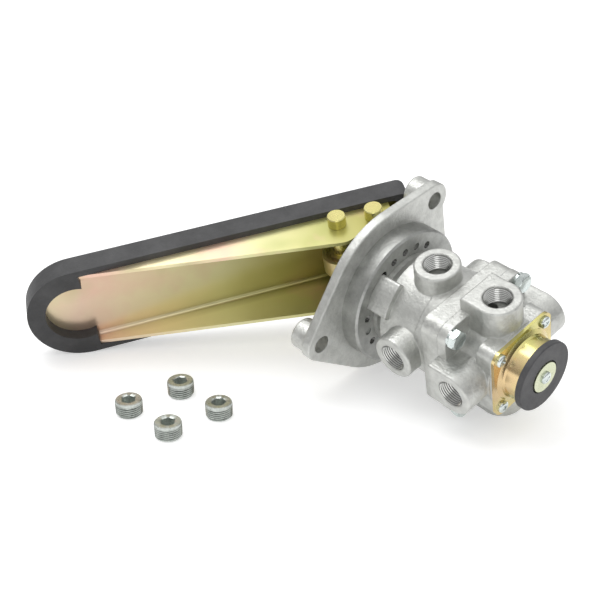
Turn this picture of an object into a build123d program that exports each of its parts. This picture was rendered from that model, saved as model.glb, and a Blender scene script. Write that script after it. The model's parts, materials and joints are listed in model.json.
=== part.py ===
from build123d import *
from math import asin, atan2, cos, degrees, hypot, pi, radians, sin, sqrt
import os

# Treadle brake valve for a dual-circuit air brake, lying on a table with four loose pipe plugs.
# It is drawn in the valve's own frame, in millimetres: +X from the mounting plate to the exhaust,
# +Z along the treadle pins, -Y towards the toe of the treadle, origin on the valve axis at the
# mounting face. At the end every piece is laid on the table by one placement.

# Mounting plate
plate_radius = 56.8
plate_flat = 51.4
plate_thickness = 6.0
hole_radius = 5.75
front_hole_y = 62.7
rear_hole_y = 43.8
rear_hole_z = 41.8
lobe_radius = 11.5
standoff_radius = 10.0
standoff_height = 17.5
hub_radius = 17.0
hub_height = 13.0
ear_thickness = 8.0
ear_radius = 9.0
ear_foot = 28.0

# Clocking ring between the plate and the upper body
ring_radius = 45.0
ring_width = 12.7
ring_hole_circle = 35.3
ring_hole_count = 22
ring_hole_radius = 2.4
ring_hole_depth = 8.0
ring_blank_every = 7
ring_blank_depth = 1.5
ring_first_angle = 53.3
ring_left_out = 21
ring_edge = 1.2

# Pipe ports, 3/8 taper thread
thread_radius = 8.5
thread_depth = 12.0
mouth_chamfer = 0.8
passage_radius = 4.0
port_face = 44.3
bottom_port_face = 43.4
boss_radius = 14.2

# Upper body
upper_radius = 34.2
neck_radius = 30.6
neck_length = 3.5
neck_slope = 5.0
neck_step = 0.7
neck_end = 48.2
upper_port_x = 41.3
joint_x = 70.5
upper_lug_half = 34.9
upper_lug_corner = 8.5
upper_lug_start = 58.0
pad_radius = 37.6
pad_end = 27.5
pad_angles = (118.0, 156.0)

# Lower body
lower_radius = 27.6
lower_port_x = 86.6
lug_half = 35.3
lug_thickness = 6.5
lug_corner = 9.0
flat_offset = 16.0
flat_half = 14.0
body_end = 102.0
seat_half = 25.6
seat_corner = 6.5
seat_depth = 11.0

# Bores and the moving pieces inside
fit = 0.05
gap = 0.3
plunger_radius = 9.95
plunger_tip_radius = 7.5
primary_bore = 24.0
primary_bore_end = 36.0
partition = 4.0
seat_hole = 8.0
valve_chamber = 17.0
relay_bore = 19.0
relay_bore_start = 62.0
relay_partition_x = 84.5
exhaust_gap = 2.2
piston_land = 9.0
stem_radius = 6.0
stem_bore = 3.6
valve_disc_radius = 10.5
valve_disc = 3.0
valve_tube_radius = 6.0
valve_tube_bore = 4.0
retainer_width = 3.5
ring_section = 1.3
spring_wire = 1.2
seat_disc = 4.0
seat_radius = 20.0
block_radius = 12.0
boot_wall = 2.2

# Treadle, in its own frame: along from the fulcrum pin to the toe, up towards the valve
treadle_angle = 31.7
fulcrum_x = -31.07
fulcrum_y = 19.93
roller_pin_x = -44.25
treadle_travel = 18.5
steel = 2.6
steel_bend = 3.0
steel_half_heel = 29.5
steel_half_toe = 30.6
steel_toe = 226.0
steel_heel = -20.0
base_depth = 18.5
flange_peak_along = 22.0
flange_peak_up = 17.9
flange_slope = 0.174
flange_heel = -12.0
flange_heel_up = 3.0
flange_toe_up = -12.5
peak_round = 10.0
heel_round = 5.0
cover_depth = 26.9
cover_lip = 10.3
cover_half_heel = 33.4
cover_half_toe = 35.2
cover_toe = 231.0
cover_heel = -26.5
cover_edge = 2.0
cover_heel_round = 6.0
pocket_start = 191.0
pocket_radius = 21.6
pocket_along = 197.8

# Pins and roller
pin_radius = 4.75
pin_head_radius = 5.95
pin_head = 7.4
pin_tail = 6.5
pin_edge = 0.5
pin_play = 0.35
cotter_radius = 1.1
cotter_reach = 9.0
cotter_eye = 2.9
cotter_eye_bore = 1.5
cotter_eye_width = 1.7
roller_radius = 12.5
roller_half = 6.2
roller_recess = 3.2
roller_rim = 2.4
roller_hub = 7.0

# Fasteners
bolt_spread = 29.3
bolt_radius = 3.1
bolt_flats = 11.0
bolt_head = 4.4
lock_washer = 1.6
lock_washer_radius = 5.6
plate_screw_circle = 36.0
plate_screw_radius = 2.9
plate_screw_flats = 10.0
plate_screw_head = 4.0
cover_screw_spread = 19.5
cover_screw_radius = 2.1
cover_screw_head_radius = 3.9
cover_screw_head = 2.3
cover_screw_length = 9.0

# Exhaust cover and its rubber flap
cover_sheet = 2.0
cup_radius = 20.4
cup_draft = 0.6
cup_end = 115.8
cup_root = 3.0
vent_count = 6
vent_radius = 3.2
vent_circle = 13.5
flap_radius = 22.3
flap_thickness = 3.8
flap_hole = 10.8
flap_web = 1.6
flap_washer_radius = 9.8
flap_washer = 1.4
flap_screw_radius = 2.4
flap_screw_head_radius = 3.9
flap_screw_head = 2.0

# Loose pipe plugs
plug_radius = 8.53
plug_taper = 0.35
plug_height = 10.0
plug_edge = 0.9
plug_hex = 8.0
plug_hex_depth = 6.5
plug_places = ((-73.7, -155.2), (-68.7, -118.8), (-37.1, -153.7), (-32.7, -118.1))

# How the valve lies: nose down, then rolled towards the toe of the treadle
nose_down = 7.22
roll = 16.65

# Sizes that follow
cup_plane = body_end + cover_sheet
flap_face = cup_end + flap_thickness
treadle_pin_along = hypot(fulcrum_x - roller_pin_x, fulcrum_y)
roller_tip_x = roller_pin_x + roller_radius
plunger_tip_x = roller_tip_x + gap
steel_inside = steel_half_heel - steel
ear_outside = steel_inside - 0.6
pin_angle = degrees(atan2(-fulcrum_y, roller_pin_x - fulcrum_x))
plunger_stroke = treadle_pin_along * (cos(radians(pin_angle + treadle_travel)) - cos(radians(pin_angle)))
piston_stroke = 0.5 * plunger_stroke
valve_stroke = 0.25 * plunger_stroke
relay_stroke = 0.4 * plunger_stroke
primary_seat_x = primary_bore_end + partition
relay_seat_x = relay_partition_x + partition
upper_retainer_x = relay_bore_start - retainer_width - 1.0
block_start = 1.6
piston_start = 13.9
relay_start = relay_bore_start + 2.0
piston_groove_x = piston_start + piston_land / 2
relay_groove_x = relay_start + piston_land / 2

low = (Align.CENTER, Align.CENTER, Align.MIN)
across = Plane.YZ


def rod(radius, start, end, y=0.0, z=0.0):
    """A cylinder along the valve axis."""
    return Pos(start, y, z) * Rot(0, 90, 0) * Cylinder(radius, end - start, align=low)


def turned(points):
    """A closed outline of axial and radial sizes, turned about the valve axis."""
    return revolve(Plane.XY * make_face(Polyline(*points, close=True)), Axis.X)


def slab(outline, start, end):
    """An outline across the valve axis, as thick as from start to end."""
    return Pos(start, 0, 0) * extrude(across * outline, end - start)


def hex_head(flats, start, end, y, z, turn=0.0):
    outline = Pos(y, z) * Rot(0, 0, turn) * RegularPolygon(flats / 2, 6, major_radius=False)
    return slab(outline, start, end)


def square_spots(spread):
    return [(y, z) for y in (-spread, spread) for z in (-spread, spread)]


def ring_seal(x, bore):
    """The O-ring of a piston, a small gap short of its bore."""
    return Pos(x, 0, 0) * Rot(0, 90, 0) * Torus(bore - gap - ring_section, ring_section)


def seal_groove(x, bore):
    outer = rod(bore + 1, x - ring_section, x + ring_section)
    return outer - rod(bore - gap - 2 * ring_section, x - 5, x + 5)


def spring_sleeve(start, end, radius):
    """A compression spring between two seats, with closed ends."""
    return rod(radius, start, end) - rod(radius - spring_wire, start - 1, end + 1)


# Mounting plate

def plate_spots():
    return [(-front_hole_y, 0.0), (rear_hole_y, rear_hole_z), (rear_hole_y, -rear_hole_z)]


def lobe(y, z):
    """One lobe: a round end whose sides run back tangent to the plate's rim."""
    far = Pos(y, z) * Circle(lobe_radius)
    return make_hull(far.edges() + Circle(plate_radius).edges())


def plate_outline():
    """The rim with its three lobes, cut straight between the two at the heel side."""
    rim = Circle(plate_radius)
    for y, z in plate_spots():
        rim += lobe(y, z)
    before_flat = Pos(plate_flat - 2 * plate_radius, 0) * Rectangle(4 * plate_radius, 4 * plate_radius)
    rim = rim & before_flat
    for side in (-1, 1):
        rim += Pos(rear_hole_y, side * rear_hole_z) * Circle(lobe_radius)
    return rim


def ear():
    """The ear that carries the fulcrum pin, seen along the pin."""
    top = Pos(fulcrum_x, fulcrum_y) * Circle(ear_radius)
    foot = Pos(-plate_thickness + 1.0, fulcrum_y) * Rectangle(2.0, ear_foot)
    return make_hull(top.edges() + foot.edges())


def mounting_plate():
    body = slab(plate_outline(), -plate_thickness, 0)
    body = fillet(body.faces().sort_by(Axis.X)[-1].outer_wire().edges(), 1.0)
    body += rod(hub_radius, -hub_height, -plate_thickness + 0.5)
    for y, z in plate_spots():
        pad = rod(standoff_radius, -standoff_height, -plate_thickness + 0.5, y, z)
        body += fillet(pad.faces().sort_by(Axis.X)[0].edges(), 1.2)
    for side in (-1, 1):
        middle = side * (ear_outside - ear_thickness / 2)
        body += Pos(0, 0, middle) * extrude(ear(), ear_thickness / 2, both=True)
    for y, z in plate_spots():
        body -= rod(hole_radius, -standoff_height - 1, 1, y, z)
    for y, z in plate_screw_spots():
        body -= rod(plate_screw_radius + gap, -plate_thickness - 1, 1, y, z)
    body -= Pos(fulcrum_x, fulcrum_y, 0) * Cylinder(pin_radius + fit, 4 * ear_outside)
    body -= rod(plunger_radius + fit, -hub_height - 1, 1)
    body -= rod(seat_radius + 1.0, -3.5, 1)
    groove = rod(hub_radius + 1, -hub_height + 3.0, -hub_height + 5.5)
    body -= groove - rod(hub_radius - 1.4, -hub_height, 0)
    return body


def plate_screw_spots():
    r = plate_screw_circle
    return [(r, 0.0), (-r, 0.0), (0.0, r), (0.0, -r)]


def plate_screws():
    group = []
    for y, z in plate_screw_spots():
        top = -plate_thickness - plate_screw_head
        head = hex_head(plate_screw_flats, top, -plate_thickness, y, z)
        group.append(head + rod(plate_screw_radius, -plate_thickness - 1, ring_width - 4.0, y, z))
    return Part() + group


def rubber_boot():
    """A wiper boot that clips round the hub and closes on the plunger."""
    lip = plunger_radius + gap
    start = -hub_height
    top = start - 7.5
    points = [
        (start + 5.2, hub_radius - 1.2),
        (start + 5.2, hub_radius + 1.6),
        (start - 0.3, hub_radius + 1.6),
        (start - 2.2, hub_radius - 1.5),
        (start - 3.4, hub_radius - 0.4),
        (start - 5.0, lip + 2.4),
        (top, lip + 2.2),
        (top, lip),
        (start - 3.6, lip),
        (start - 2.4, lip + 2.2),
        (start - 0.1, hub_radius - 3.0),
        (start - 0.1, hub_radius + 0.1),
        (start + 3.2, hub_radius + 0.1),
        (start + 3.2, hub_radius - 1.2),
    ]
    return turned(points)


# Clocking ring

def ring_angles():
    step = 360 / ring_hole_count
    return [ring_first_angle + step * i for i in range(ring_hole_count)]


def clocking_ring():
    body = rod(ring_radius, 0, ring_width) - rod(primary_bore, -1, ring_width + 1)
    body = chamfer(body.faces().sort_by(Axis.X)[-1].edges().sort_by(SortBy.RADIUS)[-1], ring_edge)
    for index, angle in enumerate(ring_angles()):
        if index == ring_left_out:
            continue
        y = ring_hole_circle * cos(radians(angle))
        z = ring_hole_circle * sin(radians(angle))
        depth = ring_blank_depth if index % ring_blank_every == 1 else ring_hole_depth
        body -= rod(ring_hole_radius, ring_width - depth, ring_width + 1, y, z)
    for y, z in plate_screw_spots():
        body -= rod(plate_screw_radius + fit, -1, ring_width - 4.0, y, z)
    return body


# Ports

def round_boss(height):
    boss = Cylinder(boss_radius, height, align=low)
    return fillet(boss.faces().sort_by(Axis.Z)[-1].edges(), 1.6)


def flat_boss(height):
    """A round boss whose joint side is squared off flush with the body joint."""
    outline = Circle(boss_radius)
    outline += Pos(-flat_offset / 2, 0) * Rectangle(flat_offset, 2 * flat_half)
    boss = extrude(outline, height)
    return fillet(boss.faces().sort_by(Axis.Z)[-1].edges(), 1.2)


def port_cut(face, passage_shift, reach):
    """The tapped mouth and the offset drilling that leads to its chamber."""
    mouth = Pos(0, 0, face - thread_depth) * Cylinder(thread_radius, thread_depth + 1, align=low)
    rim = thread_radius + mouth_chamfer
    lead_in = Pos(0, 0, face - mouth_chamfer) * Cone(thread_radius, rim, mouth_chamfer, align=low)
    length = face - thread_depth + 1 - reach
    return mouth + lead_in + Pos(passage_shift, 0, reach) * Cylinder(passage_radius, length, align=low)


def turned_to(angle, x):
    return Pos(x, 0, 0) * Rot(angle, 0, 0)


upper_ports = {"top": 0, "front": 90, "back": -90}
lower_ports = {"top": 0, "front": 90, "back": -90, "bottom": 180}


# Upper body

def arc_pad(first, last):
    """A raised segment beside the clocking ring that the index screws clear."""
    sector = Sketch() + [make_face([
        Line((0, 0), (50 * cos(radians(first)), 50 * sin(radians(first)))),
        CenterArc((0, 0), 50, first, last - first),
        Line((50 * cos(radians(last)), 50 * sin(radians(last))), (0, 0)),
    ])]
    pad = slab(Circle(pad_radius) & sector, ring_width, pad_end)
    return fillet(pad.edges().filter_by(Axis.X), 2.0)


def joint_flange(half, corner, start, end):
    outline = RectangleRounded(2 * half, 2 * half, corner)
    return slab(outline, start, end)


def upper_body():
    shoulder = ring_width + neck_length
    body = turned([
        (ring_width, 0),
        (ring_width, neck_radius),
        (shoulder, neck_radius),
        (shoulder + neck_slope, upper_radius - neck_step),
        (neck_end, upper_radius - neck_step),
        (neck_end, upper_radius),
        (joint_x, upper_radius),
        (joint_x, 0),
    ])
    lugs = joint_flange(upper_lug_half, upper_lug_corner, upper_lug_start, joint_x)
    body += lugs
    for turn in (0, 180):
        body += Rot(turn, 0, 0) * arc_pad(*pad_angles)
    for angle in upper_ports.values():
        body += turned_to(angle, upper_port_x) * round_boss(port_face)
    body -= rod(primary_bore, ring_width - 1, primary_bore_end)
    body -= rod(seat_hole, primary_bore_end - 1, primary_seat_x + 1)
    body -= rod(valve_chamber, primary_seat_x, relay_bore_start + 1)
    body -= rod(relay_bore, relay_bore_start, joint_x + 1)
    for name, angle in upper_ports.items():
        shift = 4.5 if name == "top" else -7.0
        reach = valve_chamber - 2.0 if name == "top" else primary_bore - 2.0
        body -= turned_to(angle, upper_port_x) * port_cut(port_face, shift, reach)
    for y, z in square_spots(bolt_spread):
        body -= rod(bolt_radius + fit, upper_lug_start + 2.0, joint_x + 1, y, z)
    return body


# Lower body

def lower_body():
    body = rod(lower_radius, joint_x, body_end - 1)
    body += joint_flange(lug_half, lug_corner, joint_x, joint_x + lug_thickness)
    seat = RectangleRounded(2 * seat_half, 2 * seat_half, seat_corner)
    body += slab(seat, body_end - seat_depth, body_end)
    for name, angle in lower_ports.items():
        height = bottom_port_face if name == "bottom" else port_face
        body += turned_to(angle, lower_port_x) * flat_boss(height)
    body -= rod(relay_bore, joint_x - 1, relay_partition_x)
    body -= rod(seat_hole, relay_partition_x - 1, relay_seat_x + 1)
    body -= rod(valve_chamber, relay_seat_x, body_end + 1)
    for name, angle in lower_ports.items():
        shift = -5.5 if name in ("top", "back") else 6.0
        reach = (relay_bore if shift < 0 else valve_chamber) - 2.0
        face = bottom_port_face if name == "bottom" else port_face
        body -= turned_to(angle, lower_port_x) * port_cut(face, shift, reach)
    for y, z in square_spots(bolt_spread):
        body -= rod(bolt_radius + 0.3, joint_x - 1, joint_x + lug_thickness + 1, y, z)
        body -= rod(lock_washer_radius + 1.2, joint_x + lug_thickness, joint_x + 20, y, z)
    for y, z in square_spots(cover_screw_spread):
        body -= rod(cover_screw_radius + fit, body_end - cover_screw_length, body_end + 1, y, z)
    return body


def body_bolts():
    group = []
    under_head = joint_x + lug_thickness + lock_washer
    for y, z in square_spots(bolt_spread):
        head = hex_head(bolt_flats, under_head, under_head + bolt_head, y, z, 12.0)
        tip = upper_lug_start + 2.5
        group.append(head + rod(bolt_radius, tip, under_head + 0.5, y, z))
    return Part() + group


def lock_washers():
    group = []
    start = joint_x + lug_thickness
    for y, z in square_spots(bolt_spread):
        washer = rod(lock_washer_radius, start, start + lock_washer, y, z)
        washer -= rod(bolt_radius + 0.1, start - 1, start + lock_washer + 1, y, z)
        washer -= Pos(start, y, z + lock_washer_radius) * Box(8, 1.2, 2 * lock_washer_radius - 6)
        group.append(washer)
    return Part() + group


# Moving pieces inside

def plunger():
    """The push rod under the roller, with a turned-down tip and a wide foot."""
    points = [
        (plunger_tip_x, 0),
        (plunger_tip_x, plunger_tip_radius),
        (plunger_tip_x + 2.0, plunger_radius),
        (-3.0, plunger_radius),
        (-3.0, 0),
    ]
    return turned(points)


def spring_seat():
    start = -3.0
    plate = rod(seat_radius, start, start + seat_disc)
    return plate + rod(4.0, start + 1, block_start + 3.0)


def rubber_spring():
    block = rod(block_radius, block_start, piston_start)
    return block - rod(4.3, block_start - 1, block_start + 4.0)


def primary_piston():
    land = rod(primary_bore - fit, piston_start, piston_start + piston_land)
    stem = rod(stem_radius, piston_start + 2, primary_seat_x + gap - exhaust_gap)
    body = land + stem
    body -= rod(stem_bore, piston_start + 5.0, primary_seat_x + 5)
    return body - seal_groove(piston_groove_x, primary_bore)


def valve_piece(seat_x, tube_end):
    """A hollow inlet and exhaust valve: its face closes the seat, its bore vents."""
    start = seat_x + gap
    body = rod(valve_disc_radius, start, start + valve_disc)
    body += rod(valve_tube_radius, start + 1, tube_end)
    return body - rod(valve_tube_bore, start + 1.0, tube_end + 1)


def valve_retainer(start):
    body = rod(valve_chamber - fit, start, start + retainer_width)
    return body - rod(valve_tube_radius + fit, start - 1, start + retainer_width + 1)


def relay_piston():
    land = rod(relay_bore - fit, relay_start, relay_start + piston_land)
    stem = rod(stem_radius, relay_start + 2, relay_seat_x + gap - exhaust_gap)
    body = land + stem - rod(stem_bore, relay_start - 1, relay_seat_x + 5)
    return body - seal_groove(relay_groove_x, relay_bore)


# Treadle

def treadle_place():
    return Pos(fulcrum_x, fulcrum_y, 0) * Rot(0, 0, -(90 + treadle_angle))


def tapered(half_heel, half_toe, heel, toe, heel_corner):
    """A strip that narrows or widens to a round toe, seen from the valve."""
    end = toe - half_toe
    strip = make_face(Polyline(
        (heel, -half_heel), (end, -half_toe), (end, half_toe), (heel, half_heel), close=True))
    if heel_corner > 0:
        strip = fillet(strip.vertices().sort_by(Axis.X)[:2], heel_corner)
    return strip + Pos(end, 0) * Circle(half_toe)


def standing(outline, bottom, top):
    """An outline along and across the treadle, from bottom to top above the pin line."""
    lying = Plane(origin=(0, bottom, 0), x_dir=(1, 0, 0), z_dir=(0, 1, 0))
    return extrude(lying * outline, top - bottom)


def flange_profile():
    """The treadle's side flanges seen along the pins: straight taper, rounded at the peak."""
    past_toe = steel_toe + 5
    level_along = flange_peak_along + (flange_peak_up - flange_toe_up) / flange_slope
    floor = -base_depth - steel
    profile = make_face(Polyline(
        (flange_heel, floor),
        (past_toe, floor),
        (past_toe, flange_toe_up),
        (level_along, flange_toe_up),
        (flange_peak_along, flange_peak_up),
        (flange_heel, flange_heel_up),
        close=True))
    peak = profile.vertices().sort_by(Axis.Y)[-1]
    profile = fillet(peak, peak_round)
    heel = profile.vertices().filter_by_position(Axis.X, flange_heel - 0.1, flange_heel + 0.1)
    return fillet(heel.sort_by(Axis.Y)[-1], heel_round)


def treadle():
    outer = tapered(steel_half_heel, steel_half_toe, steel_heel, steel_toe, 6.0)
    inner = tapered(steel_half_heel - steel, steel_half_toe - steel, 3 * steel_heel, steel_toe - steel, 0)
    body = standing(outer, -base_depth - steel, flange_peak_up + 1)
    body = fillet(body.faces().sort_by(Axis.Y)[0].edges(), steel_bend)
    hollow = standing(inner, -base_depth, flange_peak_up + 2)
    body -= fillet(hollow.faces().sort_by(Axis.Y)[0].edges(), steel_bend)
    above = extrude(flange_profile(), 2 * steel_half_heel, both=True)
    above += standing(outer, -base_depth - steel, -base_depth)
    body &= above
    for along in (0, treadle_pin_along):
        body -= Pos(along, roller_pin_up(along), 0) * Cylinder(pin_radius + fit, 200)
    return treadle_place() * body


def roller_pin_up(along):
    """How far above the fulcrum the pin at this place stands, in the treadle's frame."""
    if along == 0:
        return 0.0
    turn = radians(pin_angle + 90 + treadle_angle)
    return treadle_pin_along * sin(turn)


def roller_pin_along():
    turn = radians(pin_angle + 90 + treadle_angle)
    return treadle_pin_along * cos(turn)


def treadle_cover(channel):
    """The moulded rubber pad: a thick sole, side walls and a pocket over the toe."""
    outer = tapered(cover_half_heel, cover_half_toe, cover_heel, cover_toe, cover_heel_round)
    body = standing(outer, -cover_depth, -cover_lip)
    body = fillet(body.faces().sort_by(Axis.Y)[0].edges(), cover_edge)
    opening = tapered(steel_half_heel, steel_half_toe, steel_heel, steel_toe, 6.0)
    opening &= Pos(pocket_start - 150, 0) * Rectangle(300, 100)
    opening += Pos(pocket_along, 0) * Circle(pocket_radius)
    body -= standing(opening, -base_depth, 0)
    return treadle_place() * body - channel


# Pins and roller

def headed_pin(x, y):
    """A plain pin with a tall round head on the +Z side and a cross hole at its tail."""
    seat = steel_half_heel + pin_play
    shank = Pos(x, y, -steel_half_heel - pin_tail)
    body = shank * Cylinder(pin_radius, seat + steel_half_heel + pin_tail, align=low)
    head = Cylinder(pin_head_radius, pin_head, align=low)
    head = chamfer(head.faces().sort_by(Axis.Z)[-1].edges(), pin_edge)
    body += Pos(x, y, seat) * head
    hole = Pos(x, y, -steel_half_heel - pin_tail / 2) * Rot(90, 0, 0)
    return body - hole * Cylinder(cotter_radius + fit, 4 * pin_radius)


def cotter(x, y):
    """A split pin through the tail of a pin, with its eye on one side."""
    z = -steel_half_heel - pin_tail / 2
    legs = Pos(x, y, z) * Rot(90, 0, 0) * Cylinder(cotter_radius, 2 * cotter_reach)
    eye = Cylinder(cotter_eye, cotter_eye_width) - Cylinder(cotter_eye_bore, 2 * cotter_eye_width)
    return legs + Pos(x, y - cotter_reach - cotter_eye + 0.8, z) * Rot(0, 90, 0) * eye


def roller():
    wheel = Cylinder(roller_radius, 2 * roller_half)
    for side in (-1, 1):
        recess = Cylinder(roller_radius - roller_rim, roller_recess)
        recess -= Cylinder(roller_hub, roller_recess)
        wheel -= Pos(0, 0, side * (roller_half - roller_recess / 2)) * recess
    wheel -= Cylinder(pin_radius + fit, 4 * roller_half)
    return Pos(roller_pin_x, 0, 0) * wheel


# Exhaust end

def exhaust_cover():
    """A drawn cup with a square flange; its closed end is pierced with vents."""
    flange = slab(RectangleRounded(2 * seat_half, 2 * seat_half, seat_corner), body_end, cup_plane)
    wall = cover_sheet
    rim = cup_radius - cup_draft
    body = flange + turned([
        (body_end, 0), (body_end, cup_radius + cup_root), (cup_plane, cup_radius + cup_root),
        (cup_plane + cup_root / 2, cup_radius + 0.4), (cup_plane + cup_root, cup_radius),
        (cup_end, rim), (cup_end, 0)])
    body -= turned([
        (body_end - 1, 0), (body_end - 1, cup_radius - wall), (cup_end - wall, rim - wall),
        (cup_end - wall, 0)])
    for i in range(vent_count):
        turn = 2 * pi * i / vent_count
        body -= rod(vent_radius, cup_end - 5, cup_end + 1, vent_circle * cos(turn), vent_circle * sin(turn))
    body -= rod(flap_screw_radius, cup_end - 5, cup_end + 1)
    for y, z in square_spots(cover_screw_spread):
        body -= rod(cover_screw_radius + 0.2, body_end - 1, cup_plane + 1, y, z)
    return body


def cover_screws():
    group = []
    for y, z in square_spots(cover_screw_spread):
        head = rod(cover_screw_head_radius, cup_plane, cup_plane + cover_screw_head, y, z)
        head = fillet(head.faces().sort_by(Axis.X)[-1].edges(), 1.2)
        tip = body_end - cover_screw_length + 0.5
        group.append(head + rod(cover_screw_radius, tip, cup_plane + 0.5, y, z))
    return Part() + group


def exhaust_flap():
    """The round rubber flap that covers the vents and keeps dirt out."""
    disc = rod(flap_radius, cup_end, flap_face)
    disc = fillet(disc.faces().sort_by(Axis.X)[-1].edges(), 0.8)
    disc -= rod(flap_hole, cup_end + flap_web, flap_face + 1)
    return disc - rod(flap_screw_radius, cup_end - 1, flap_face + 1)


def flap_washer_disc():
    start = cup_end + flap_web
    body = turned([
        (start, 0), (start, flap_washer_radius - 3.0), (flap_face - 0.9, flap_washer_radius),
        (flap_face + flap_washer - 0.9, flap_washer_radius),
        (flap_face + flap_washer - 0.9, 0)])
    return body - rod(flap_screw_radius, start - 1, flap_face + 5)


def flap_screw():
    seat = flap_face + flap_washer - 0.9
    head = rod(flap_screw_head_radius, seat, seat + flap_screw_head)
    head = fillet(head.faces().sort_by(Axis.X)[-1].edges(), 1.2)
    shank = rod(flap_screw_radius, cup_end - 6.0, seat + 0.5)
    nut = hex_head(8.0, cup_end - cover_sheet - 3.2, cup_end - cover_sheet, 0, 0)
    return head + shank + nut


# Laying the valve down

def lay(solid, height):
    """Turn a piece from the valve's frame to how it lies, with the table at zero height."""
    return Pos(0, 0, height) * Rot(0, nose_down, 0) * Rot(roll, 0, 0) * solid


def pipe_plug(x, y):
    """A taper plug standing on its small end, with a hexagon socket."""
    body = Cone(plug_radius - plug_taper, plug_radius, plug_height, align=low)
    body = chamfer(body.edges().filter_by(GeomType.CIRCLE), plug_edge)
    socket = extrude(RegularPolygon(plug_hex / 2, 6, major_radius=False), plug_hex_depth)
    return Pos(x, y, 0) * (body - Pos(0, 0, plug_height - plug_hex_depth) * socket)


def valve_pieces():
    channel = treadle()
    relay_retainer_x = body_end - retainer_width
    first_valve = primary_seat_x + gap + valve_disc
    second_valve = relay_seat_x + gap + valve_disc
    return {
        "mounting_plate": mounting_plate(),
        "plate_screws": plate_screws(),
        "clocking_ring": clocking_ring(),
        "rubber_boot": rubber_boot(),
        "upper_body": upper_body(),
        "lower_body": lower_body(),
        "body_bolts": body_bolts(),
        "lock_washers": lock_washers(),
        "exhaust_cover": exhaust_cover(),
        "exhaust_cover_screws": cover_screws(),
        "exhaust_flap": exhaust_flap(),
        "flap_washer": flap_washer_disc(),
        "flap_screw": flap_screw(),
        "plunger": plunger(),
        "spring_seat": spring_seat(),
        "rubber_spring": rubber_spring(),
        "primary_piston": primary_piston(),
        "primary_piston_seal": ring_seal(piston_groove_x, primary_bore),
        "piston_return_spring": spring_sleeve(piston_start + piston_land, primary_bore_end, 15.0),
        "primary_valve": valve_piece(primary_seat_x, upper_retainer_x + retainer_width),
        "primary_valve_spring": spring_sleeve(first_valve, upper_retainer_x, 9.0),
        "primary_valve_retainer": valve_retainer(upper_retainer_x),
        "relay_piston": relay_piston(),
        "relay_piston_seal": ring_seal(relay_groove_x, relay_bore),
        "relay_return_spring": spring_sleeve(relay_start + piston_land, relay_partition_x, 13.0),
        "secondary_valve": valve_piece(relay_seat_x, body_end + 2.0),
        "secondary_valve_spring": spring_sleeve(second_valve, relay_retainer_x, 9.0),
        "secondary_valve_retainer": valve_retainer(relay_retainer_x),
        "treadle": channel,
        "treadle_cover": treadle_cover(channel),
        "fulcrum_pin": headed_pin(fulcrum_x, fulcrum_y),
        "fulcrum_cotter": cotter(fulcrum_x, fulcrum_y),
        "roller_pin": headed_pin(roller_pin_x, 0),
        "roller_cotter": cotter(roller_pin_x, 0),
        "roller": roller(),
    }


if __name__ == "__main__":
    os.makedirs("parts", exist_ok=True)
    laid = {name: lay(solid, 0) for name, solid in valve_pieces().items()}
    lowest = min(solid.bounding_box().min.Z for solid in laid.values())
    pieces = {name: Pos(0, 0, -lowest) * solid for name, solid in laid.items()}
    for number, (x, y) in enumerate(plug_places, 1):
        pieces["pipe_plug_%d" % number] = pipe_plug(x, y)
    corners = [solid.bounding_box() for solid in pieces.values()]
    middle_x = (min(c.min.X for c in corners) + max(c.max.X for c in corners)) / 2
    middle_y = (min(c.min.Y for c in corners) + max(c.max.Y for c in corners)) / 2
    for name, solid in pieces.items():
        export_step(Pos(-middle_x, -middle_y, 0) * solid, "parts/%s.step" % name)
    print("height of the valve axis", round(-lowest, 3), "middle", round(middle_x, 3), round(middle_y, 3))
    print("plunger stroke", round(plunger_stroke, 3))
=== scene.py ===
import json
from math import cos, pi, radians, sin

import bmesh
import bpy
from mathutils import Matrix, Vector


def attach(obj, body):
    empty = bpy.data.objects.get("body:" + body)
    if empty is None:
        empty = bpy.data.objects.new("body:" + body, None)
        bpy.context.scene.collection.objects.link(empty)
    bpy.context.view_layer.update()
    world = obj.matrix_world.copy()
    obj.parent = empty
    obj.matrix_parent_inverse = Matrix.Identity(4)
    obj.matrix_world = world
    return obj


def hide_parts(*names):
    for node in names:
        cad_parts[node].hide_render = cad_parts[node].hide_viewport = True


# A treadle brake valve lying on a pale floor with its four loose pipe plugs.

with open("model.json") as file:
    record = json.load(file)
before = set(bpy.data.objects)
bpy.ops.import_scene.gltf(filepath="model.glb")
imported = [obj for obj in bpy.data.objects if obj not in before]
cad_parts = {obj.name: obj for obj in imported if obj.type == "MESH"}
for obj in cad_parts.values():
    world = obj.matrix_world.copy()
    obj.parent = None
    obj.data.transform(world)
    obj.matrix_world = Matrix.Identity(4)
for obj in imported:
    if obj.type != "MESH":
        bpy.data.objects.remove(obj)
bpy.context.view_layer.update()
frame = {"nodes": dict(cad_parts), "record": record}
nodes = frame["nodes"]
scene = bpy.context.scene
print("frame loaded,", len(nodes), "nodes")


# Places in mm, but the treadle's reach in metres, like the frame

laidDown = {"axis": (28.999, 50.149, 56.237), "noseDown": 7.22, "roll": 16.65}
treadlePlace = {"fulcrum": (-31.07, 19.93, 0.0), "angle": 31.7, "reach": 0.226}

millimetre = Matrix.Scale(0.001, 4)
noseTurn = Matrix.Rotation(radians(laidDown["noseDown"]), 4, "Y")
turnDown = noseTurn @ Matrix.Rotation(radians(laidDown["roll"]), 4, "X")
# The valve's own frame has +X along its axis to the exhaust.
valvePlace = millimetre @ Matrix.Translation(laidDown["axis"]) @ turnDown

lean = radians(treadlePlace["angle"])
alongTreadle = turnDown.to_3x3() @ Vector((-sin(lean), -cos(lean), 0))
upTreadle = turnDown.to_3x3() @ Vector((cos(lean), -sin(lean), 0))
fulcrumPoint = valvePlace @ Vector(treadlePlace["fulcrum"])


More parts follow.
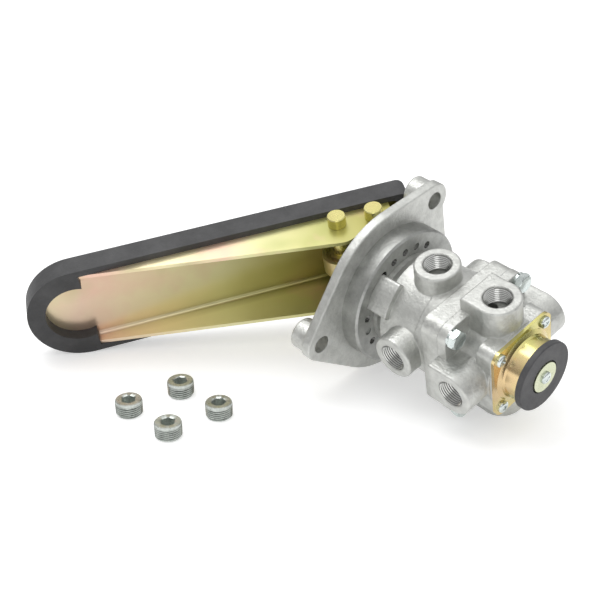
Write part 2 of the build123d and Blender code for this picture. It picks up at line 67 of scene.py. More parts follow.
def tint(red, green, blue):  # a colour as seen on a screen, 0 to 255
    parts = []
    for value in (red, green, blue):
        level = value / 255
        parts.append(level / 12.92 if level <= 0.04045 else ((level + 0.055) / 1.055) ** 2.4)
    return (*parts, 1.0)


# Node maths as expressions

class Wire:
    def __init__(self, nodeTree, socket):
        self.nodeTree = nodeTree
        self.socket = socket

    def maths(self, how, first, second):
        return self.nodeTree.node("ShaderNodeMath", {"operation": how}, {0: first, 1: second})

    def __add__(self, other):
        return self.maths("ADD", self, other)

    def __radd__(self, other):
        return self.maths("ADD", other, self)

    def __sub__(self, other):
        return self.maths("SUBTRACT", self, other)

    def __rsub__(self, other):
        return self.maths("SUBTRACT", other, self)

    def __mul__(self, other):
        return self.maths("MULTIPLY", self, other)

    def __rmul__(self, other):
        return self.maths("MULTIPLY", other, self)

    def __truediv__(self, other):
        return self.maths("DIVIDE", self, other)

    def unsigned(self):
        return self.nodeTree.node("ShaderNodeMath", {"operation": "ABSOLUTE"}, {0: self})

    def clipped(self):
        return self.nodeTree.node("ShaderNodeClamp", {}, {"Value": self}, "Result")


class NodeTree:
    def __init__(self, tree):
        self.tree = tree

    def node(self, kind, settings=None, sockets=None, out=0):
        made = self.tree.nodes.new(kind)
        for name, value in (settings or {}).items():
            if name == "stops":
                ramp = made.color_ramp.elements
                while len(ramp) < len(value):
                    ramp.new(0.5)
                for element, (place, colour) in zip(ramp, value):
                    element.position = place
                    element.color = colour
            else:
                setattr(made, name, value)
        for name, value in (sockets or {}).items():
            if isinstance(value, Wire):
                self.tree.links.new(value.socket, made.inputs[name])
            else:
                made.inputs[name].default_value = value
        return Wire(self, made.outputs[out]) if made.outputs else None

    def spread(self, value, low, high, bottom=0.0, top=1.0):  # from low and high to bottom and top
        sockets = {"Value": value, "From Min": low, "From Max": high, "To Min": bottom, "To Max": top}
        return self.node("ShaderNodeMapRange", {}, sockets, "Result")


class Finish(NodeTree):
    def __init__(self, name):
        self.material = bpy.data.materials.new(name)
        self.material.use_nodes = True
        super().__init__(self.material.node_tree)
        self.tree.nodes.clear()

    def place(self):
        return self.node("ShaderNodeTexCoord", out="Object")

    def noise(self, scale, detail=3.0, roughness=0.5):
        sockets = {"Vector": self.place(), "Scale": scale, "Detail": detail, "Roughness": roughness}
        return self.node("ShaderNodeTexNoise", {}, sockets, "Fac")

    def blend(self, factor, first, second):  # the colour sockets of a Mix node are its inputs 6 and 7
        return self.node("ShaderNodeMix", {"data_type": "RGBA"}, {0: factor, 6: first, 7: second}, 2)

    def bump(self, height, strength, depth, under=None):
        sockets = {"Height": height, "Strength": strength, "Distance": depth}
        if under is not None:
            sockets["Normal"] = under
        return self.node("ShaderNodeBump", {}, sockets, "Normal")

    def output(self, shader):
        self.node("ShaderNodeOutputMaterial", {}, {"Surface": shader})
        return self.material

    def surface(self, sockets):
        return self.output(self.node("ShaderNodeBsdfPrincipled", {}, sockets, "BSDF"))


# Cast, turned and cut metal

castLook = {
    "light": tint(214, 215, 211), "dark": tint(180, 181, 177), "metallic": 0.8, "rough": 0.4,
    "roughSpread": 0.35, "cloudScale": 150.0, "grainScale": 620.0, "bump": 0.55, "bumpDepth": 0.0006,
    "edge": 0.0012}
# The clocking ring is a darker copy of the cast metal: painted shade of its shadowed front face.
shadedRingLook = {
    "light": tint(184, 185, 182), "dark": tint(136, 137, 134), "metallic": 0.9, "rough": 0.36,
    "roughSpread": 0.3, "cloudScale": 90.0, "grainScale": 700.0, "bump": 0.4, "bumpDepth": 0.0005,
    "edge": 0.0005}
# The third colour of the thread looks is painted shade at the bottom of the thread's groove.
cutLook = {
    "light": tint(232, 233, 230), "dark": tint(206, 207, 204), "metallic": 0.9, "rough": 0.22,
    "roughSpread": 0.1, "cloudScale": 150.0, "grainScale": 900.0, "bump": 0.05, "bumpDepth": 0.0001,
    "grooveShade": tint(52, 52, 50)}
# The ring holes' threads get a darker copy of the metal: painted shade inside the holes.
shadedHoleLook = {
    "light": tint(150, 150, 147), "dark": tint(92, 92, 90), "metallic": 1.0, "rough": 0.26,
    "roughSpread": 0.1, "cloudScale": 150.0, "grainScale": 900.0, "bump": 0.05, "bumpDepth": 0.0001,
    "grooveShade": tint(28, 28, 27)}
zincLook = {
    "light": tint(232, 238, 236), "dark": tint(190, 200, 198), "metallic": 0.9, "rough": 0.24,
    "roughSpread": 0.2, "cloudScale": 200.0, "grainScale": 1500.0, "bump": 0.1, "bumpDepth": 0.0002}
plugLook = {
    "light": tint(218, 223, 218), "dark": tint(172, 178, 172), "metallic": 0.85, "rough": 0.3,
    "roughSpread": 0.2, "cloudScale": 260.0, "grainScale": 900.0, "bump": 0.15, "bumpDepth": 0.0002,
    "grooveShade": tint(58, 62, 58)}
washerLook = {
    "light": tint(216, 220, 190), "dark": tint(196, 201, 170), "metallic": 0.85, "rough": 0.28,
    "roughSpread": 0.15, "cloudScale": 150.0, "grainScale": 1300.0, "bump": 0.08, "bumpDepth": 0.0001}
steelLook = {
    "light": tint(212, 208, 176), "dark": tint(190, 184, 140), "metallic": 0.95, "rough": 0.3,
    "roughSpread": 0.15, "cloudScale": 120.0, "grainScale": 1600.0, "bump": 0.1, "bumpDepth": 0.0001}
aluminiumLook = {
    "light": tint(214, 214, 212), "dark": tint(198, 198, 196), "metallic": 1.0, "rough": 0.33,
    "roughSpread": 0.15, "cloudScale": 120.0, "grainScale": 1600.0, "bump": 0.1, "bumpDepth": 0.0001}
metalMix = {"cloudsFrom": 0.35, "cloudsTo": 0.65, "clouds": 0.6, "grain": 0.55, "less": 0.08}


def grainedMetal(name, look):
    finish = Finish(name)
    clouds = finish.noise(look["cloudScale"], detail=5.0, roughness=0.65)
    clouds = finish.spread(clouds, metalMix["cloudsFrom"], metalMix["cloudsTo"])
    grain = finish.noise(look["grainScale"], detail=3.0, roughness=0.6)
    share = (clouds * metalMix["clouds"] + grain * metalMix["grain"] - metalMix["less"]).clipped()
    colour = finish.blend(share, look["dark"], look["light"])
    if "grooveShade" in look:  # painted shade: darker where the thread's groove is deep
        groove = finish.node("ShaderNodeAttribute", {"attribute_name": "groove"}, {}, "Fac")
        colour = finish.blend(groove * groove, colour, look["grooveShade"])
    rounded = None
    if "edge" in look:
        rounded = finish.node("ShaderNodeBevel", {"samples": 4}, {"Radius": look["edge"]}, "Normal")
    return finish.surface({
        "Base Color": colour,
        "Metallic": look["metallic"],
        "Roughness": (look["rough"] + (grain - 0.5) * look["roughSpread"]).clipped(),
        "Normal": finish.bump(grain, look["bump"], look["bumpDepth"], rounded)})


castAluminium = grainedMetal("castAluminium", castLook)
ringMetal = grainedMetal("ringMetal", shadedRingLook)
cutThread = grainedMetal("cutThread", cutLook)
darkHole = grainedMetal("darkHole", shadedHoleLook)
paleZinc = grainedMetal("paleZinc", zincLook)
plugSteel = grainedMetal("plugSteel", plugLook)
washerZinc = grainedMetal("washerZinc", washerLook)
turnedSteel = grainedMetal("turnedSteel", steelLook)
turnedAluminium = grainedMetal("turnedAluminium", aluminiumLook)


# Yellow passivated zinc: the colour drifts from heel to toe, with rose and olive clouds, and the treadle's
# channel floor gets painted shade towards the heel

treadleZincLook = {
    "stops": [
        (0.00, tint(184, 178, 104)), (0.20, tint(214, 210, 146)), (0.42, tint(238, 234, 184)),
        (0.62, tint(246, 232, 190)), (0.82, tint(240, 212, 190)), (1.00, tint(236, 226, 182))],
    "rose": tint(240, 192, 178), "roseScale": 15.0, "roseShare": 0.8,
    "olive": tint(158, 168, 84), "oliveScale": 12.0, "oliveShare": 0.75,
    # painted shade on the treadle channel's floor towards the heel
    "channelShade": tint(112, 102, 28), "channelShadeFrom": -0.010, "channelShadeTo": -0.0175, "channelShadeShare": 0.9,
    "rough": 0.28, "metallic": 0.7}
cupZincLook = {
    "stops": [
        (0.00, tint(214, 208, 136)), (0.40, tint(214, 208, 136)), (0.60, tint(226, 212, 150)),
        (0.80, tint(200, 196, 112)), (1.00, tint(214, 212, 140))],
    "rose": tint(230, 188, 160), "roseScale": 26.0, "roseShare": 0.55,
    "olive": tint(150, 144, 76), "oliveScale": 38.0, "oliveShare": 0.6,
    "rough": 0.2, "metallic": 0.9}
pinZincLook = dict(cupZincLook, roseShare=0.2, oliveShare=0.25, rough=0.24)
zincDrift = {
    "scale": 11.0, "share": 0.35, "roseFrom": 0.46, "roseTo": 0.66, "oliveFrom": 0.48, "oliveTo": 0.68}


def yellowZinc(name, look):
    finish = Finish(name)
    offset = finish.node("ShaderNodeVectorMath", {"operation": "SUBTRACT"}, {
        0: finish.place(), 1: fulcrumPoint})

    def distance(way):
        return finish.node("ShaderNodeVectorMath", {"operation": "DOT_PRODUCT"}, {0: offset, 1: way}, "Value")

    drift = finish.noise(zincDrift["scale"], detail=3.0, roughness=0.55)
    toToe = distance(alongTreadle) * (1 / treadlePlace["reach"])
    toToe = (toToe + (drift - 0.5) * zincDrift["share"]).clipped()
    colour = finish.node("ShaderNodeValToRGB", {"stops": look["stops"]}, {0: toToe}, "Color")
    olive = finish.noise(look["oliveScale"], detail=3.0, roughness=0.55)
    olive = finish.spread(olive, zincDrift["oliveFrom"], zincDrift["oliveTo"])
    colour = finish.blend(olive * look["oliveShare"], colour, look["olive"])
    rose = finish.noise(look["roseScale"], detail=4.0, roughness=0.55)
    rose = finish.spread(rose, zincDrift["roseFrom"], zincDrift["roseTo"])
    colour = finish.blend(rose * look["roseShare"], colour, look["rose"])
    if "channelShade" in look:  # painted shade: the channel's floor is darker towards the heel, in the shadowed hollow
        low = finish.spread(distance(upTreadle), look["channelShadeFrom"], look["channelShadeTo"], top=look["channelShadeShare"])
        colour = finish.blend(low * (1.0 - toToe), colour, look["channelShade"])
    return finish.surface({"Base Color": colour, "Metallic": look["metallic"], "Roughness": look["rough"]})


treadleZinc = yellowZinc("treadleYellowZinc", treadleZincLook)
cupZinc = yellowZinc("cupYellowZinc", cupZincLook)
pinZinc = yellowZinc("pinYellowZinc", pinZincLook)


# Rubber of the pad, the flap and the seals

padLook = {
    "dark": tint(66, 66, 67), "pale": tint(82, 82, 83), "rough": 0.55, "dustScale": 60.0,
    "grainScale": 700.0, "bump": 0.35, "bumpDepth": 0.0004}
flapLook = {
    "dark": tint(72, 72, 74), "pale": tint(92, 92, 93), "rough": 0.5, "dustScale": 90.0,
    "grainScale": 900.0, "bump": 0.25, "bumpDepth": 0.0003}
rubberMix = {"dustFrom": 0.4, "dustTo": 0.75, "roughSpread": 0.2, "shine": 0.35}


def rubber(name, look):
    finish = Finish(name)
    dust = finish.noise(look["dustScale"], detail=5.0, roughness=0.65)
    dust = finish.spread(dust, rubberMix["dustFrom"], rubberMix["dustTo"])
    grain = finish.noise(look["grainScale"], detail=3.0, roughness=0.6)
    return finish.surface({
        "Base Color": finish.blend(dust, look["dark"], look["pale"]),
        "Roughness": (look["rough"] + (grain - 0.5) * rubberMix["roughSpread"]).clipped(),
        "Specular IOR Level": rubberMix["shine"],
        "Normal": finish.bump(grain, look["bump"], look["bumpDepth"])})


padRubber = rubber("padRubber", padLook)
flapRubber = rubber("flapRubber", flapLook)
print("finishes made")


# The finishes of the solids

slotOf = {part["node"]: part["material_slot"] for part in frame["record"]["subparts"]}
slotFinish = {
    "cast": castAluminium, "ring_metal": ringMetal, "gold_zinc": treadleZinc, "zinc": paleZinc,
    "plug_steel": plugSteel, "pad_rubber": padRubber, "black_rubber": flapRubber,
    "turned_steel": turnedSteel, "turned_aluminium": turnedAluminium, "spring_steel": turnedSteel}
for name, solid in nodes.items():
    solid.data.materials.clear()
    solid.data.materials.append(slotFinish[slotOf[name]])
nodes["exhaust_cover"].data.materials[0] = cupZinc
nodes["flap_washer"].data.materials[0] = washerZinc
for name in ("fulcrum_pin", "roller_pin", "fulcrum_cotter", "roller_cotter"):
    nodes[name].data.materials[0] = pinZinc


# Making pieces

sameSpot = 1e-4  # mm, closer points are one


def addPiece(name, mesh, place, body, finish, replaced=(), smooth=40):
    shape = bmesh.new()
    shape.from_mesh(mesh)
    bmesh.ops.remove_doubles(shape, verts=shape.verts, dist=sameSpot)
    bmesh.ops.recalc_face_normals(shape, faces=shape.faces)
    bmesh.ops.transform(shape, matrix=place, verts=shape.verts)
    shape.to_mesh(mesh)
    shape.free()
    mesh.materials.clear()
    mesh.materials.append(finish)
    mesh.name = name
    piece = bpy.data.objects.new(name, mesh)
    scene.collection.objects.link(piece)
    mesh.shade_smooth()
    mesh.set_sharp_from_angle(angle=radians(smooth))
    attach(piece, body)
    if replaced:
        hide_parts(*replaced)


def latheMesh(points, steps):  # points along the X axis and out from it, both ends on the axis
    verts = []
    rings = []
    for along, out in points:
        count = steps if out > 0 else 1
        rings.append(range(len(verts), len(verts) + count))
        for step in range(count):
            turn = 2 * pi * step / steps
            verts.append((along, out * cos(turn), out * sin(turn)))
    faces = []
    for first, second in zip(rings, rings[1:]):
        for step in range(steps):
            after = (step + 1) % steps
            if len(first) == 1:
                faces.append((first[0], second[step], second[after]))
            elif len(second) == 1:
                faces.append((first[step], first[after], second[0]))
            else:
                faces.append((first[step], first[after], second[after], second[step]))
    mesh = bpy.data.meshes.new("lathe")
    mesh.from_pydata(verts, [], faces)
    mesh.update()
    return mesh


def looseObject(name, mesh):
    thing = bpy.data.objects.new(name, mesh)
    scene.collection.objects.link(thing)
    shape = bmesh.new()
    shape.from_mesh(mesh)
    bmesh.ops.recalc_face_normals(shape, faces=shape.faces)
    shape.to_mesh(mesh)
    shape.free()
    return thing


def plainMesh(thing):  # the object's mesh as its modifiers leave it
    bpy.context.view_layer.update()
    return bpy.data.meshes.new_from_object(thing.evaluated_get(bpy.context.evaluated_depsgraph_get()))


def carved(mesh, tools, how="DIFFERENCE"):  # the mesh after each tool's mesh has cut it
    work = looseObject("work", mesh)
    helpers = []
    for tool in tools:
        helper = looseObject("tool", tool)
        helpers.append(helper)
        cut = work.modifiers.new("cut", "BOOLEAN")
        cut.object = helper
        cut.operation = how
        cut.solver = "EXACT"
    result = plainMesh(work)
    for thing in [work] + helpers:
        bpy.data.objects.remove(thing)
    return result


def joined(meshes):
    whole = bmesh.new()
    for mesh in meshes:
        whole.from_mesh(mesh)
    result = bpy.data.meshes.new("joined")
    whole.to_mesh(result)
    whole.free()
    return result


# Geometry Nodes that put copies on points

def geometryTree(name, inputs):
    group = bpy.data.node_groups.new(name, "GeometryNodeTree")
    for label, kind in inputs.items():
        group.interface.new_socket(label, in_out="INPUT", socket_type="NodeSocket" + kind)
    group.interface.new_socket("Geometry", in_out="OUTPUT", socket_type="NodeSocketGeometry")
    tree = NodeTree(group)
    start = tree.node("NodeGroupInput").socket.node
    return tree, {label: Wire(tree, start.outputs[label]) for label in inputs}


def finishTree(tree, copies, finish):
    copies = tree.node("GeometryNodeRealizeInstances", {}, {"Geometry": copies}, "Geometry")
    copies = tree.node("GeometryNodeSetMaterial", {}, {"Geometry": copies, "Material": finish}, "Geometry")
    tree.node("NodeGroupOutput", {}, {"Geometry": copies})
    return tree.tree


def namedValue(tree, name, kind):
    return tree.node("GeometryNodeInputNamedAttribute", {"data_type": kind}, {"Name": name}, "Attribute")


def onPoints(tree, points, copy, rotation):
    sockets = {"Points": points, "Instance": copy, "Rotation": rotation}
    return tree.node("GeometryNodeInstanceOnPoints", {}, sockets, "Instances")


def threadTree():  # a spiral ridge on every point, along the point's aim
    tree, given = geometryTree("tappedHoles", {
        "Geometry": "Geometry", "Deep radius": "Float", "Mouth radius": "Float", "Pitch": "Float",
        "Turns": "Float", "Ridge": "Float", "Steps": "Int", "Finish": "Material"})
    helix = tree.node("GeometryNodeCurveSpiral", {}, {
        "Resolution": given["Steps"], "Rotations": given["Turns"], "Start Radius": given["Deep radius"],
        "End Radius": given["Mouth radius"], "Height": given["Pitch"] * given["Turns"]}, "Curve")
    helix = tree.node("GeometryNodeSetCurveNormal", {"mode": "Z_UP"}, {"Curve": helix}, "Curve")
    section = tree.node("GeometryNodeCurvePrimitiveCircle", {}, {
        "Resolution": 4, "Radius": given["Ridge"]}, "Curve")
    spot = tree.node("GeometryNodeInputPosition", out="Position")
    side = tree.node("ShaderNodeSeparateXYZ", {}, {"Vector": spot}, "Y")
    # The groove is 0 on the crest and 1 at the bottom between two turns; the finish darkens by it as painted
    # shade.
    section = tree.node("GeometryNodeStoreNamedAttribute", {"data_type": "FLOAT", "domain": "POINT"}, {
        "Geometry": section, "Name": "groove", "Value": side.unsigned() / given["Ridge"]}, "Geometry")
    ridge = tree.node("GeometryNodeCurveToMesh", {}, {
        "Curve": helix, "Profile Curve": section, "Fill Caps": True}, "Mesh")
    aim = namedValue(tree, "aim", "FLOAT_VECTOR")
    rotation = tree.node("FunctionNodeAlignRotationToVector", {"axis": "Z"}, {"Vector": aim}, "Rotation")
    return finishTree(tree, onPoints(tree, given["Geometry"], ridge, rotation), given["Finish"])


def fastenerTree():  # a screw or bolt on every point, turned about its axis by the point's turn
    tree, given = geometryTree("fasteners", {
        "Geometry": "Geometry", "Fastener": "Object", "Finish": "Material"})
    fastener = tree.node("GeometryNodeObjectInfo", {}, {"Object": given["Fastener"]}, "Geometry")
    angles = tree.node("ShaderNodeCombineXYZ", {}, {"X": namedValue(tree, "turn", "FLOAT")}, "Vector")
    rotation = tree.node("FunctionNodeEulerToRotation", {}, {"Euler": angles}, "Rotation")
    return finishTree(tree, onPoints(tree, given["Geometry"], fastener, rotation), given["Finish"])


tappedHoles = threadTree()
fasteners = fastenerTree()


def repeated(group, spots, mark, marks, values):  # each point carries its mark, a vector or a number
    mesh = bpy.data.meshes.new("spots")
    mesh.from_pydata(spots, [], [])
    isVector = isinstance(marks[0], tuple)
    layer = mesh.attributes.new(mark, "FLOAT_VECTOR" if isVector else "FLOAT", "POINT")
    for point, value in zip(layer.data, marks):
        setattr(point, "vector" if isVector else "value", value)
    holder = bpy.data.objects.new("spots", mesh)
    scene.collection.objects.link(holder)
    maker = holder.modifiers.new("copies", "NODES")
    maker.node_group = group
    for item in group.interface.items_tree:
        if item.in_out == "INPUT" and item.name in values:
            maker[item.identifier] = values[item.name]
    result = plainMesh(holder)
    holder.modifiers.remove(maker)
    bpy.data.objects.remove(holder)
    return result


# Threads in the ports and in the clocking ring

portSizes = {"upper": 41.3, "lower": 86.6, "face": 44.3, "bottomFace": 43.4, "depth": 12.0, "start": 0.5}
portThread = {
    "Deep radius": 8.15, "Mouth radius": 8.55, "Pitch": 1.411, "Turns": 7.6, "Ridge": 0.72, "Steps": 44,
    "Finish": cutThread}
outward = {"top": (0, 0, 1), "front": (0, -1, 0), "back": (0, 1, 0), "bottom": (0, 0, -1)}
portSpots = []
portAims = []
for x, sides in (
        (portSizes["upper"], ("top", "front", "back")),
        (portSizes["lower"], ("top", "front", "back", "bottom"))):
    for side in sides:
        face = portSizes["bottomFace"] if side == "bottom" else portSizes["face"]
        deepEnd = face - portSizes["depth"] + portSizes["start"]
        aim = outward[side]
        portSpots.append((x, aim[1] * deepEnd, aim[2] * deepEnd))
        portAims.append(aim)
portMesh = repeated(tappedHoles, portSpots, "aim", portAims, portThread)
addPiece("portThreads", portMesh, valvePlace, "valve", cutThread)

ringSizes = {
    "circle": 35.3, "count": 22, "first": 53.3, "leftOut": 21, "blankEvery": 7, "width": 12.7,
    "depth": 8.0, "start": 0.3}
# The ring holes' threads take the darker finish, painted shade inside the holes.
ringThread = {
    "Deep radius": 2.42, "Mouth radius": 2.42, "Pitch": 0.8, "Turns": 9.0, "Ridge": 0.4, "Steps": 16,
    "Finish": darkHole}
ringSpots = []
for index in range(ringSizes["count"]):
    if index == ringSizes["leftOut"] or index % ringSizes["blankEvery"] == 1:
        continue
    turn = radians(ringSizes["first"] + 360 / ringSizes["count"] * index)
    deepEnd = ringSizes["width"] - ringSizes["depth"] + ringSizes["start"]
    ringSpots.append((deepEnd, ringSizes["circle"] * cos(turn), ringSizes["circle"] * sin(turn)))
ringMesh = repeated(tappedHoles, ringSpots, "aim", [(1, 0, 0)] * len(ringSpots), ringThread)
addPiece("ringThreads", ringMesh, valvePlace, "valve", darkHole)
print("threads cut in", len(portSpots), "ports and", len(ringSpots), "ring holes")


# Loose plugs with their taper thread and hexagon socket

plug = {
    "radius": 8.53, "taper": 0.35, "height": 10.0, "pitch": 1.411, "depth": 0.85, "threadStart": 0.9,
    "threadEnd": 8.3, "grooveGain": 1.3, "crestWidth": 0.15, "runOut": 1.0, "rimInset": 0.35,
    "rimRise": 0.35, "rimEdge": 0.5, "flats": 8.0, "socketDepth": 6.5, "socketRim": 0.15, "leadIn": 0.45,
    "drill": 3.4, "drillPoint": 1.2, "steps": 72, "perPitch": 10,
    "places": ((-44.70, -105.05), (-39.70, -68.65), (-8.10, -103.55), (-3.70, -67.95)),
    "turns": (20, 95, 200, 290)}


def crest(z):  # the plug's radius over its threads, smaller at the bottom
    return plug["radius"] - plug["taper"] * (1 - z / plug["height"])


def plugThread():  # rings of (radius, height), and how deep the groove is at each of their points
    steps, start, end = plug["steps"], plug["threadStart"], plug["threadEnd"]
    rows = int((end - start) / plug["pitch"] * plug["perPitch"])
    rings = [[(crest(0) - start, 0.0)] * steps]
    grooves = [0.0] * steps
    for row in range(rows + 1):
        z = start + (end - start) * row / rows
        runOut = min(max((end - z) / plug["runOut"], 0.0), 1.0)
        ring = []
        for step in range(steps):
            phase = (z / plug["pitch"] - step / steps) % 1
            groove = min(max(abs(2 * phase - 1) * plug["grooveGain"] - plug["crestWidth"], 0.0), 1.0)
            ring.append((crest(z) - plug["depth"] * groove * runOut, z))
            grooves.append(groove * runOut)
        rings.append(ring)
    return rings, grooves


def plugHead():  # rings from the last thread over the rim and down the socket
    steps, top = plug["steps"], plug["height"]
    rim = crest(top) - plug["rimInset"]
    bottom = top - plug["socketDepth"]
    hexagon = []
    for step in range(steps):
        turn = (2 * pi * step / steps) % (pi / 3) - pi / 6
        hexagon.append(plug["flats"] / 2 / cos(turn))
    cornerOut = plug["flats"] / 2 / cos(pi / 6)
    return [
        [(rim, plug["threadEnd"] + plug["rimRise"])] * steps,
        [(rim, top - plug["rimEdge"])] * steps,
        [(rim - plug["rimEdge"], top)] * steps,
        [(cornerOut + plug["socketRim"], top)] * steps,
        [(out, top - plug["leadIn"]) for out in hexagon],
        [(out, bottom) for out in hexagon],
        [(plug["drill"], bottom)] * steps]


def plugMesh():
    steps = plug["steps"]
    rings, grooves = plugThread()
    rings += plugHead()
    verts = []
    for ring in rings:
        for step, (radius, z) in enumerate(ring):
            turn = 2 * pi * step / steps
            verts.append((radius * cos(turn), radius * sin(turn), z))
    faces = []
    for row in range(len(rings) - 1):
        for step in range(steps):
            after = (step + 1) % steps
            low = row * steps
            faces.append((low + step, low + after, low + steps + after, low + steps + step))
    verts += [(0, 0, 0), (0, 0, plug["height"] - plug["socketDepth"] - plug["drillPoint"])]
    last = (len(rings) - 1) * steps
    for step in range(steps):
        after = (step + 1) % steps
        faces.append((len(verts) - 2, after, step))
        faces.append((len(verts) - 1, last + step, last + after))
    mesh = bpy.data.meshes.new("plug")
    mesh.from_pydata(verts, [], faces)
    depths = mesh.attributes.new("groove", "FLOAT", "POINT")
    depths.data.foreach_set("value", grooves + [0.0] * (len(verts) - len(grooves)))
    return mesh


for number, (spot, turn) in enumerate(zip(plug["places"], plug["turns"]), 1):
    place = millimetre @ Matrix.Translation((*spot, 0)) @ Matrix.Rotation(radians(turn), 4, "Z")
    name = "pipe_plug_%d" % number
    addPiece("threadedPlug%d" % number, plugMesh(), place, name, plugSteel, (name,), 35)
print("plugs made")


# Cross-recess screws of the exhaust cover and the flap, and the hexagon bolts

coverScrew = {
    "seat": 104.0, "headRadius": 3.9, "head": 2.3, "shank": 2.05, "tip": 93.6, "spread": 19.5,
    "turns": (12, 40, 75, 28)}
flapScrew = {
    "seat": 120.1, "headRadius": 3.9, "head": 2.0, "shank": 2.35, "tip": 110.0, "turn": 35,
    "nut": (-9.5, -6.3), "nutFlats": 8.0}
screwDome = {"steps": 6, "edge": 0.35, "flatness": 0.62, "round": 40}
# The recess's two ends, deep and above the head: its reach along, and shares of the head's radius.
screwRecess = {"along": (-1.5, 0.5), "length": (0.55, 1.15), "width": (0.16, 0.26)}


def crossScrew(size):
    head, out, tip = size["head"], size["headRadius"], size["tip"] - size["seat"]
    edge, steps = screwDome["edge"], screwDome["steps"]
    profile = [(tip, 0), (tip, size["shank"]), (0, size["shank"]), (0, out)]
    for step in range(steps + 1):
        turn = pi / 2 * step / steps
        along = head * edge + head * (1 - edge) * sin(turn)
        profile.append((along, out * (1 - screwDome["flatness"] * (1 - cos(turn)))))
    profile.append((head, 0))
    tools = []
    for turn in (0, pi / 2):
        wing = bmesh.new()
        bmesh.ops.create_cube(wing, size=1.0)
        for vert in wing.verts:
            end = 0 if vert.co.x < 0 else 1
            vert.co.y *= out * screwRecess["length"][end]
            vert.co.z *= out * screwRecess["width"][end]
            vert.co.x = head + screwRecess["along"][end]
        bmesh.ops.rotate(wing, verts=wing.verts, cent=(0, 0, 0), matrix=Matrix.Rotation(turn, 3, "X"))
        tool = bpy.data.meshes.new("wing")
        wing.to_mesh(tool)
        wing.free()
        tools.append(tool)
    return carved(latheMesh(profile, screwDome["round"]), tools)


def fastenerRow(mesh, size, turns):  # one at each corner of a square round the valve's axis
    spots = []
    for y in (-1, 1):
        for z in (-1, 1):
            spots.append((size["seat"], y * size["spread"], z * size["spread"]))
    fastener = looseObject("fastener", mesh)
    values = {"Fastener": fastener, "Finish": paleZinc}
    result = repeated(fasteners, spots, "turn", [radians(turn) for turn in turns], values)
    bpy.data.objects.remove(fastener)
    return result


addPiece(
    "coverScrews", fastenerRow(crossScrew(coverScrew), coverScrew, coverScrew["turns"]), valvePlace,
    "valve", paleZinc, ("exhaust_cover_screws",), 35)

nutCorner = flapScrew["nutFlats"] / 2 / cos(pi / 6)
nutFront, nutBack = flapScrew["nut"]
flapNut = latheMesh([(nutFront, 0), (nutFront, nutCorner), (nutBack, nutCorner), (nutBack, 0)], 6)
flapTurn = Matrix.Rotation(radians(flapScrew["turn"]), 4, "X")
flapPlace = Matrix.Translation((flapScrew["seat"], 0, 0)) @ flapTurn
addPiece(
    "flapScrewDressed", joined([crossScrew(flapScrew), flapNut]), valvePlace @ flapPlace,
    "valve", paleZinc, ("flap_screw",), 35)

bolt = {
    "seat": 78.6, "head": 4.4, "flats": 11.0, "shank": 3.1, "tip": 60.5, "spread": 29.3,
    "turns": (12, 12, 42, 42)}
boltHead = {
    "under": 0.01, "footInset": 0.1, "footChamfer": 0.5, "clear": 0.05, "topChamfer": 1.0, "topInset": 0.35,
    "dish": 0.5, "dishInset": 1.6, "shankInside": 0.2, "round": 48, "shankRound": 24}


def hexBolt(size):  # a prism cut to the chamfers and the dished top of a turned blank
    head, flat, corner = size["head"], size["flats"] / 2, size["flats"] / 2 / cos(pi / 6)
    wide, dish = corner + boltHead["clear"], head - boltHead["dish"]
    blank = latheMesh([
        (-boltHead["under"], 0), (-boltHead["under"], flat - boltHead["footInset"]),
        (boltHead["footChamfer"], wide), (head - boltHead["topChamfer"], wide),
        (head, flat - boltHead["topInset"]), (dish, flat - boltHead["dishInset"]), (dish, 0)],
        boltHead["round"])
    prism = latheMesh([(0, 0), (0, corner), (head, corner), (head, 0)], 6)
    tip, inside = size["tip"] - size["seat"], boltHead["shankInside"]
    shank = latheMesh([
        (tip, 0), (tip, size["shank"]), (inside, size["shank"]), (inside, 0)], boltHead["shankRound"])
    return joined([carved(prism, [blank], "INTERSECT"), shank])


addPiece(
    "bodyBoltsDressed", fastenerRow(hexBolt(bolt), bolt, bolt["turns"]), valvePlace,
    "valve", paleZinc, ("body_bolts",), 30)
print("screws and bolts made")


# Floor

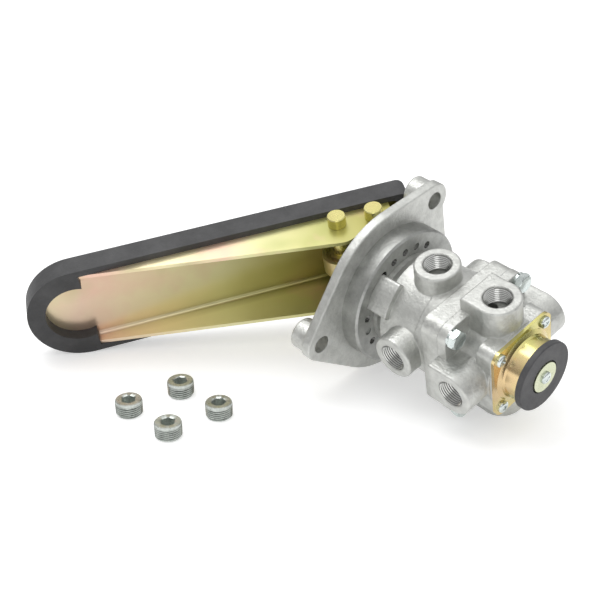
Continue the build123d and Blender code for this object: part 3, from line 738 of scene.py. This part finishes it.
floorLook = {"size": 12.0, "colour": 0.80, "lift": 0.42}
floorMesh = bpy.data.meshes.new("floor")
half = floorLook["size"] / 2
floorCorners = [(-half, -half, 0), (half, -half, 0), (half, half, 0), (-half, half, 0)]
floorMesh.from_pydata(floorCorners, [], [(0, 1, 2, 3)])
floor = bpy.data.objects.new("floor", floorMesh)
scene.collection.objects.link(floor)
paper = Finish("paperFloor")
level = floorLook["colour"]
diffuse = paper.node("ShaderNodeBsdfDiffuse", {}, {"Color": (level, level, level, 1)}, "BSDF")
rays = paper.node("ShaderNodeLightPath", out="Is Camera Ray")
glossy = Wire(paper, rays.socket.node.outputs["Is Glossy Ray"])
through = Wire(paper, rays.socket.node.outputs["Is Transmission Ray"])
glow = (rays + glossy + through).clipped() * floorLook["lift"]
lift = paper.node("ShaderNodeEmission", {}, {"Color": (1, 1, 1, 1), "Strength": glow}, "Emission")
both = paper.node("ShaderNodeAddShader", {}, {0: diffuse, 1: lift}, "Shader")
floorMesh.materials.append(paper.output(both))


# Light

lightLook = {
    "sky": 1.15, "horizon": 0.28, "low": 0.1, "high": 0.95,
    "key": 6.5, "keySize": 0.9, "keyPlace": (-0.45, -0.15, 1.4),
    "fill": 1.6, "fillSize": 0.7, "fillPlace": (1.0, -1.1, 0.9), "aim": (0, 0, 0.03)}
world = bpy.data.worlds.new("studio")
world.use_nodes = True
air = NodeTree(world.node_tree)
heading = air.node("ShaderNodeTexCoord", out="Generated")
climb = air.node("ShaderNodeSeparateXYZ", {}, {"Vector": heading}, "Z")
skyGlow = air.spread(climb, lightLook["low"], lightLook["high"], lightLook["horizon"], lightLook["sky"])
background = air.tree.nodes["Background"]
background.inputs["Color"].default_value = (1, 1, 1, 1)
air.tree.links.new(skyGlow.socket, background.inputs["Strength"])
scene.world = world


def softBox(name, power, size, spot):
    lamp = bpy.data.lights.new(name, "AREA")
    lamp.energy = power
    lamp.size = size
    box = bpy.data.objects.new(name, lamp)
    box.location = spot
    box.rotation_euler = (Vector(lightLook["aim"]) - Vector(spot)).to_track_quat("-Z", "Y").to_euler()
    scene.collection.objects.link(box)


softBox("keyLight", lightLook["key"], lightLook["keySize"], lightLook["keyPlace"])
softBox("fillLight", lightLook["fill"], lightLook["fillSize"], lightLook["fillPlace"])


# Camera

view = {
    "place": (0.49812, -0.47254, 0.40957), "turn": (1.09466, 0.01314, 0.80757), "lens": 74.754,
    "film": 36.0, "near": 0.01}
camera = bpy.data.cameras.new("camera")
camera.lens = view["lens"]
camera.sensor_fit = "HORIZONTAL"
camera.sensor_width = view["film"]
camera.clip_start = view["near"]
viewer = bpy.data.objects.new("camera", camera)
viewer.location = view["place"]
viewer.rotation_euler = view["turn"]
scene.collection.objects.link(viewer)
scene.camera = viewer
scene.view_settings.view_transform = "Standard"
print("light and camera placed")
